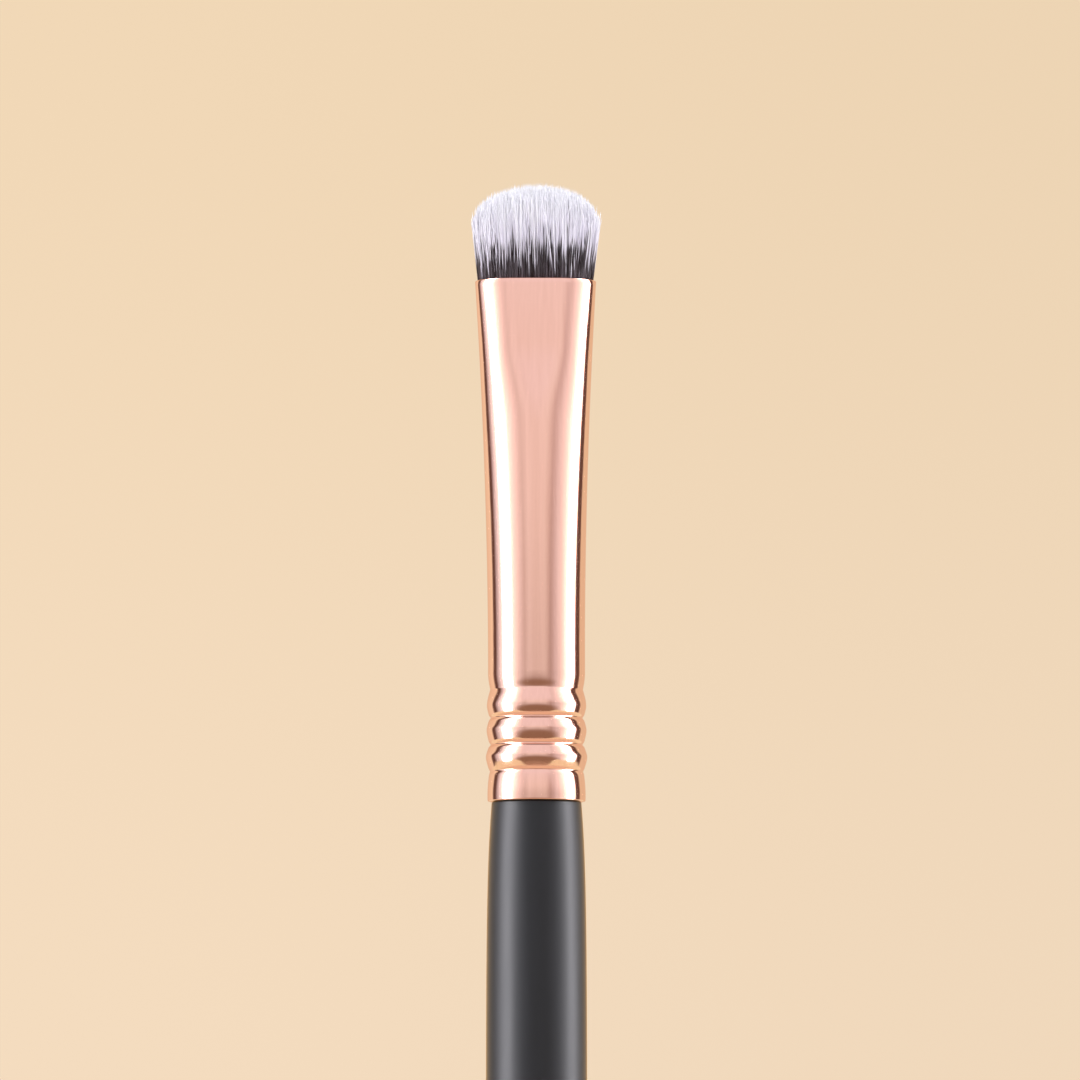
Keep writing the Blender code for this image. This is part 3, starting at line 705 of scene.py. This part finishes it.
# Centre lines of the filaments: each follows the section's spread at its own shares, is drawn
# towards its clump's line and leans a little, both growing with a power of the height, and bows
# as half a sine. With them go each one's share of the depth and its own traits for the dye.
def filamentLines(chance):
    shape = tuftShape
    across, deep = footShares(shape["pitch"], shape["jitterShare"] * shape["pitch"], chance)
    clumpJitter = shape["clumpJitterShare"] * shape["clumpPitch"]
    clumpAcross, clumpDeep = footShares(shape["clumpPitch"], clumpJitter, chance)
    foot = tuftPlace(across, deep, np.zeros_like(across))[:, :2]
    clumpFoot = tuftPlace(clumpAcross, clumpDeep, np.zeros_like(clumpAcross))[:, :2]
    clump = np.linalg.norm(foot[:, None] - clumpFoot[None], axis=2).argmin(axis=1)
    count = len(across)
    tall = np.minimum(chance.exponential(shape["domeScatter"], count), shape["tallest"])
    top = np.minimum(domeHeight(across, deep) - shape["domeSink"] + tall, shape["highest"])
    rise = np.array(shape["ringShares"] + (1.0,))
    height = -shape["footDepth"] + (top[:, None] + shape["footDepth"]) * rise[None, :]
    own = tuftPlace(across[:, None], deep[:, None], height)
    led = tuftPlace(clumpAcross[clump][:, None], clumpDeep[clump][:, None], height)
    grown = np.clip(height / top[:, None], 0.0, 1.0)[..., None]
    pull = shape["clumpPull"] * chance.uniform(*shape["clumpPullSpread"], len(clumpAcross))[clump]
    lean = chance.normal(size=(len(clumpAcross), 2))[clump] * shape["clumpLean"]
    lean = lean + chance.normal(size=(count, 2)) * shape["ownLean"]
    stray = chance.random(count) < shape["flyawayShare"]
    lean[stray] += chance.normal(size=(int(stray.sum()), 2)) * shape["flyawayLean"]
    lines = own + (led - own) * pull[:, None, None] * grown ** shape["pullPower"]
    lines[..., :2] += lean[:, None, :] * grown ** shape["leanPower"]
    lines[..., :2] += chance.normal(size=(count, 1, 2)) * shape["bow"] * np.sin(math.pi * grown)
    lines[..., 0] += ferruleShape["sideLean"]
    lines[..., 0] *= np.minimum(1.0, shape["reach"] / np.abs(lines[..., 0]).max(axis=1))[:, None]
    lines[..., 2] = height + mouth
    dye = shape["dyeHeight"] + shape["dyeClumpSpread"] * chance.normal(size=len(clumpAcross))[clump]
    dye = dye + shape["dyeOwnSpread"] * chance.normal(size=count)
    dye = dye - chance.exponential(shape["dyeTail"], count)
    dye = dye + shape["dyeTilt"] * across - shape["dyeArch"] * across ** 2
    dye = np.clip(dye, *shape["dyeLimits"])
    dye[chance.random(count) < shape["undyedShare"]] = -shape["footDepth"]
    shade = shape["shadeMiddle"] + shape["shadeSpread"] * chance.normal(size=count)
    stain = chance.random(count) ** shape["stainPower"]
    return deep, lines, {"dyeLine": dye + mouth, "shade": np.clip(shade, 0.0, 1.0), "stain": stain}


# a filament's cell of the map in shares of the cell: the tube, the point over it and the disc that
# closes its foot
filamentCell = {
    "sideMargin": 0.05,
    "tubeFoot": 0.08,
    "tubeTop": 0.88,
    "tip": 0.98,
    "discMiddle": (0.5, 0.03),
    "discReach": (0.1, 0.02),
}


# Tubes round the centre lines that thin to a point with a power of the height, each in its own
# cell of the map.
def filamentTubes(lines, share, chance):
    shape = tuftShape
    count, rings = len(lines), len(share)
    sides = shape["sides"]
    radius = shape["radius"] * (1.0 + shape["swelling"] * share)
    radius = radius * (1.0 - (1.0 - shape["tipShare"]) * share ** shape["taperPower"])
    twist = chance.uniform(0.0, math.tau, count)
    turn = twist[:, None] + np.arange(sides)[None, :] * math.tau / sides
    spoke = np.stack([np.cos(turn), np.sin(turn), 0.0 * turn], axis=-1)
    body = lines[:, :rings, None, :] + radius[None, :, None, None] * spoke[:, None, :, :]
    points = np.concatenate([body.reshape(count, -1, 3), lines[:, rings:, :]], axis=1)
    perFilament = rings * sides + 1
    start = (np.arange(count) * perFilament)[:, None, None]
    side = np.arange(sides)
    last = (rings - 1) * sides
    tip = np.stack([last + side, last + (side + 1) % sides, np.full(sides, rings * sides)], axis=-1)
    disc = side[::-1][None, :]
    cells = math.ceil(math.sqrt(count + 1))
    corner = np.stack([np.arange(count) % cells, np.arange(count) // cells], axis=-1)[:, None, None, :]
    cell = filamentCell
    left, foot, top = cell["sideMargin"], cell["tubeFoot"], np.full(sides, cell["tubeTop"])
    wide = 1.0 - 2.0 * left
    tubeMap = ringMap(rings, sides) * (wide, cell["tubeTop"] - foot) + (left, foot)
    tipMap = np.stack([
        left + wide * side / sides, top, left + wide * (side + 1) / sides, top,
        left + wide * (side + 0.5) / sides, np.full(sides, cell["tip"]),
    ], axis=-1).reshape(-1, 3, 2)
    discTurn = side * math.tau / sides
    discMap = np.stack([np.cos(discTurn), -np.sin(discTurn)], axis=-1)[None]
    discMap = cell["discMiddle"] + discMap * cell["discReach"]
    faces = [(group[None] + start).reshape(-1, group.shape[1])
             for group in (ringQuads(rings, sides), disc, tip)]
    places = [((group[None] + corner) / cells).reshape(-1, group.shape[1], 2)
              for group in (tubeMap, discMap, tipMap)]
    return points.reshape(-1, 3), faces, places, perFilament


# A layer's packed root: rings of the ferrule's section between two shares of its depth, up from the
# lowest, closed by a flat face at each end.
def rootSlice(low, high):
    shape = rootShape
    depths, insets = np.array(shape["depths"]), np.array(shape["insets"])
    halfWidth, halfDepth, halfFlat = ferruleSection(ferruleShape["length"] - depths)
    thick = halfDepth - insets
    shrink = shape["layerGap"] / 2 / thick
    lowShare = low + shrink * (low > -1.0)
    highShare = high - shrink * (high < 1.0)
    way = np.linspace(0.0, 1.0, shape["sidePoints"])
    deep = lowShare[:, None] + (highShare - lowShare)[:, None] * way
    reach = halfFlat[:, None] + (halfWidth - insets - halfFlat)[:, None] * np.sqrt(1.0 - deep ** 2)
    across = np.concatenate([reach, -reach[:, ::-1]], axis=1)
    across = across + sideLean(ferruleShape["length"] - depths)[:, None]
    deep = np.concatenate([deep, deep[:, ::-1]], axis=1) * thick[:, None]
    points = np.stack([across, deep, np.broadcast_to(mouth - depths[:, None], across.shape)], axis=-1)
    rings, sides = across.shape
    foot, top = np.arange(sides)[::-1][None], (rings - 1) * sides + np.arange(sides)[None]
    turn = np.arange(sides) * math.tau / sides
    capMap = 0.5 + 0.5 * np.stack([np.cos(turn), np.sin(turn)], axis=-1)[None]
    faces = [ringQuads(rings, sides), foot, top]
    places = [ringMap(rings, sides), capMap[:, ::-1], capMap]
    return points.reshape(-1, 3), faces, places


# Three layers of filaments, each in one mesh with its packed root and with every point marked with
# its filament's traits.
def makeTuft():
    shape = tuftShape
    chance = np.random.default_rng(shape["seed"])
    finish = makeFilament()
    deep, lines, traits = filamentLines(chance)
    for node, (low, high) in layerLimits.items():
        chosen = (deep >= low) & (deep < high)
        rings = coreRings if node == "core_bristles" else tuple(range(len(shape["ringShares"])))
        share = np.array(shape["ringShares"])[list(rings)]
        centres = lines[chosen][:, rings + (len(shape["ringShares"]),)]
        points, faces, places, perFilament = filamentTubes(centres, share, chance)
        rootPoints, rootFaces, rootPlaces = rootSlice(low, high)
        faces = faces + [group + len(points) for group in rootFaces]
        points = np.concatenate([points, rootPoints])
        piece = addPiece(node + "_fine", points, faces, places + rootPlaces, finish, node)
        for name, values in traits.items():
            attribute = piece.data.attributes.new(name, "FLOAT", "POINT")
            rootValues = np.full(len(rootPoints), rootShape[name])
            values = np.concatenate([np.repeat(values[chosen], perFilament), rootValues])
            attribute.data.foreach_set("value", values.astype(np.float32))
        print(node, "has", int(chosen.sum()), "filaments and", sum(len(group) for group in faces), "faces")


makeTuft()

for node, finish in hiddenFinishes.items():
    dressHiddenNode(node, finish)
print("glue, epoxy and thread dressed")


# Studio

studio = {
    "peak": 14.0,  # the brightest radiance, of which the ramp's colours are shares
    "frontHigh": (0.955, 0.965, 1.04),
    "frontLow": (0.46, 0.40, 0.38),
    "frontLowest": (0.30, 0.21, 0.145),
    "lowArch": 0.30,  # how fast the dark front's upper edge falls with the square of the angle
    "riseGain": 0.22,  # how much brighter the room gets just above mid height
    "leanHigh": 0.07,  # how far the soft boxes lean in, as a share of their angle
    "floorGlow": (0.98, 0.95, 0.65),
    "behind": (0.82, 0.57, 0.37),
    "top": (0.42, 0.36, 0.34),
    "sky": (0.880, 0.686, 0.472),
    "skyLow": (0.905, 0.715, 0.520),
    "skyEdge": (0.5, 11),  # degrees of height over which the low one ends
    "skyFall": 0.035,  # share that the backdrop loses from left to right
    "skyFallReach": 0.09,  # sine of the angle to each side where that is done
    "soft": (1.0, 0.99, 0.985),  # the light on matt surfaces
    "softLevels": (1.50, 1.56),  # how strong it is low down and high up
    "softEdge": (-60, 60),  # degrees of height between them
}
floorShape = {
    "radius": 0.28,
    "sides": 96,
    "drop": 0.02 * mm,  # under the tail
    "fade": (0.55, 0.98),  # shares of the radius between which it fades out
    "colour": (0.56, 0.44, 0.32),
    "roughness": 0.9,
    "specular": 0.1,
}
# where the parts of the room begin and end, in degrees of height or of the angle to either side
roomEdges = {
    "higher": (5, 26),  # heights where the boxes lean in and the front turns pale
    "front": (32, 54),  # sideways end of that pale front
    "rising": (2, 11),  # heights where the room gets brighter
    "risingSide": (95, 118),
    "behind": (128, 172),
    "lowest": (-22, -2),  # between the two dark tones in front
    "low": (-17, 3.4),  # from the dark front to the room above it
    "top": (57, 63),
    "floor": -37,  # height of the floor's edge, straight in front
    "floorRises": ((15, (8, 56)), (8, (56, 125))),  # how far it climbs, and between which angles
    "floorSoftness": 1,  # degrees to both sides of that edge
}
# radiance of the room at mid height, by the angle from the front in degrees, positive to the right
roomStops = (
    (-127, (0.98, 0.88, 0.65)), (-122, (0.14, 0.085, 0.07)), (-113, (0.14, 0.09, 0.08)),
    (-106, (0.60, 0.60, 0.64)), (-99, (0.88, 0.95, 1.05)), (-88, (1.6, 1.6, 1.7)),
    (-82, (13.5, 13.3, 14.0)), (-64, (13.5, 13.3, 14.0)), (-61, (1.9, 1.9, 1.9)),
    (-54, (1.35, 1.35, 1.37)), (-46, (1.05, 1.05, 1.08)), (-38, (0.83, 0.83, 0.86)),
    (-28, (0.65, 0.62, 0.61)), (-17, (0.79, 0.79, 0.79)), (-1, (0.73, 0.71, 0.69)),
    (10, (0.77, 0.76, 0.75)), (19, (0.76, 0.75, 0.73)), (26, (0.65, 0.61, 0.59)),
    (33, (0.50, 0.44, 0.43)), (41, (0.63, 0.60, 0.62)), (49, (0.80, 0.80, 0.85)),
    (57, (0.95, 0.96, 1.0)), (65, (1.25, 1.25, 1.25)), (73, (1.8, 1.8, 1.8)),
    (78, (2.4, 2.4, 2.4)), (80, (12.3, 12.1, 12.8)), (97, (12.3, 12.1, 12.8)),
    (103, (1.4, 1.4, 1.4)), (107, (0.14, 0.085, 0.07)), (121, (0.14, 0.085, 0.07)),
    (125, (0.84, 0.74, 0.52)),
)


# Smooth step of an angle between two limits in degrees.
def angleStep(board, angle, limits):
    return board.step(angle, math.radians(limits[0]), math.radians(limits[1]))


# The room round the object, as polished and glossy surfaces see it: upright soft boxes at both
# sides, a darker floor edge in front and the warm floor below.
def roomColour(board, azimuth, elevation):
    peak, edges = studio["peak"], roomEdges
    stops = [(0.5 + angle / 360, [channel / peak for channel in colour]) for angle, colour in roomStops]
    higher = angleStep(board, elevation, edges["higher"])
    around = azimuth * (1.0 + studio["leanHigh"] * higher)
    room = board.add("ShaderNodeValToRGB", {"stops": stops}, {"Fac": around / math.tau + 0.5})
    aside = abs(around)
    rising = angleStep(board, elevation, edges["rising"])
    rising = rising * (1.0 - angleStep(board, aside, edges["risingSide"]))
    room = board.scaled(room, peak * (1.0 + studio["riseGain"] * rising))
    room = board.mix(angleStep(board, aside, edges["behind"]), room, rgba(studio["behind"]))
    inFront = (1.0 - angleStep(board, aside, edges["front"])) * higher
    room = board.mix(inFront, room, rgba(studio["frontHigh"]))
    deep = angleStep(board, elevation, edges["lowest"])
    lowColour = board.mix(deep, rgba(studio["frontLowest"]), rgba(studio["frontLow"]))
    arched = elevation + studio["lowArch"] * azimuth * azimuth
    room = board.mix(1.0 - angleStep(board, arched, edges["low"]), room, lowColour)
    room = board.mix(angleStep(board, elevation, edges["top"]), room, rgba(studio["top"]))
    floorEdge = math.radians(edges["floor"])
    for climb, limits in edges["floorRises"]:
        floorEdge = floorEdge + math.radians(climb) * angleStep(board, aside, limits)
    softness = edges["floorSoftness"]
    below = 1.0 - angleStep(board, elevation - floorEdge, (-softness, softness))
    return board.mix(below, room, rgba(studio["floorGlow"]))


# matt surfaces see a plain soft light, glossy ones the room, and the camera the beige backdrop
def makeWorld():
    world = bpy.data.worlds.new("studio")
    bpy.context.scene.world = world
    world.cycles.sampling_method = "NONE"  # light picked by the rays alone, which know their kind
    board = Board(world)
    x, y, z = board.separate(board.add("ShaderNodeTexCoord", output=0))
    azimuth = board.add("ShaderNodeMath", {"operation": "ARCTAN2"}, {0: x, 1: -y})
    elevation = board.add("ShaderNodeMath", {"operation": "ARCSINE"}, {0: z})
    lowest, highest = studio["softLevels"]
    level = lowest + (highest - lowest) * angleStep(board, elevation, studio["softEdge"])
    soft = board.scaled(rgba(studio["soft"]), level)
    skyRise = angleStep(board, elevation, studio["skyEdge"])
    sky = board.mix(skyRise, rgba(studio["skyLow"]), rgba(studio["sky"]))
    reach = studio["skyFallReach"]
    sky = board.scaled(sky, 1.0 - studio["skyFall"] * board.step(x, -reach, reach))
    matt = board.add("ShaderNodeLightPath", output=2)
    seen = board.add("ShaderNodeLightPath", output=0)
    colour = board.mix(seen, board.mix(matt, roomColour(board, azimuth, elevation), soft), sky)
    board.add("ShaderNodeOutputWorld", None, {
        "Surface": board.add("ShaderNodeBackground", None, {"Color": colour, "Strength": 1.0}),
    })


# a disc under the tail, which fades into the backdrop at its rim and can't be seen from below
def makeFloor():
    shape = floorShape
    mesh = bpy.data.meshes.new("floor")
    turn = np.arange(shape["sides"]) * math.tau / shape["sides"]
    ring = np.stack([np.cos(turn), np.sin(turn), 0.0 * turn], axis=-1) * shape["radius"]
    mesh.from_pydata(ring + (0.0, 0.0, tailEnd - shape["drop"]), [], [list(range(shape["sides"]))])
    floor = bpy.data.objects.new("floor", mesh)
    bpy.context.collection.objects.link(floor)
    made, board = newMaterial("paleFloor")
    x, y = board.separate(board.add("ShaderNodeTexCoord", output=3))[:2]
    radius = board.add("ShaderNodeMath", {"operation": "SQRT"}, {0: x * x + y * y})
    under = board.add("ShaderNodeNewGeometry", output=6)
    rim = board.step(radius, shape["fade"][0] * shape["radius"], shape["fade"][1] * shape["radius"])
    closeMaterial(board, {
        "Base Color": rgba(shape["colour"]), "Roughness": shape["roughness"],
        "Specular IOR Level": shape["specular"], "Alpha": (1.0 - rim) * (1.0 - under),
    })
    mesh.materials.append(made)


view = {
    "place": (0.24 * mm, -0.415, 8.3 * mm),
    "pitch": 5.51,  # degrees, looking up
    "lens": 198.5,
    "sensor": 36.0,
    "clipStart": 0.01,
}


def makeCamera():
    data = bpy.data.cameras.new("camera")
    data.lens = view["lens"]
    data.sensor_width = view["sensor"]
    data.clip_start = view["clipStart"]
    camera = bpy.data.objects.new("camera", data)
    camera.location = view["place"]
    camera.rotation_euler = (math.radians(90 + view["pitch"]), 0.0, 0.0)
    bpy.context.collection.objects.link(camera)
    bpy.context.scene.camera = camera


makeWorld()
makeFloor()
makeCamera()
bpy.context.scene.view_settings.view_transform = "Standard"
print("studio made")
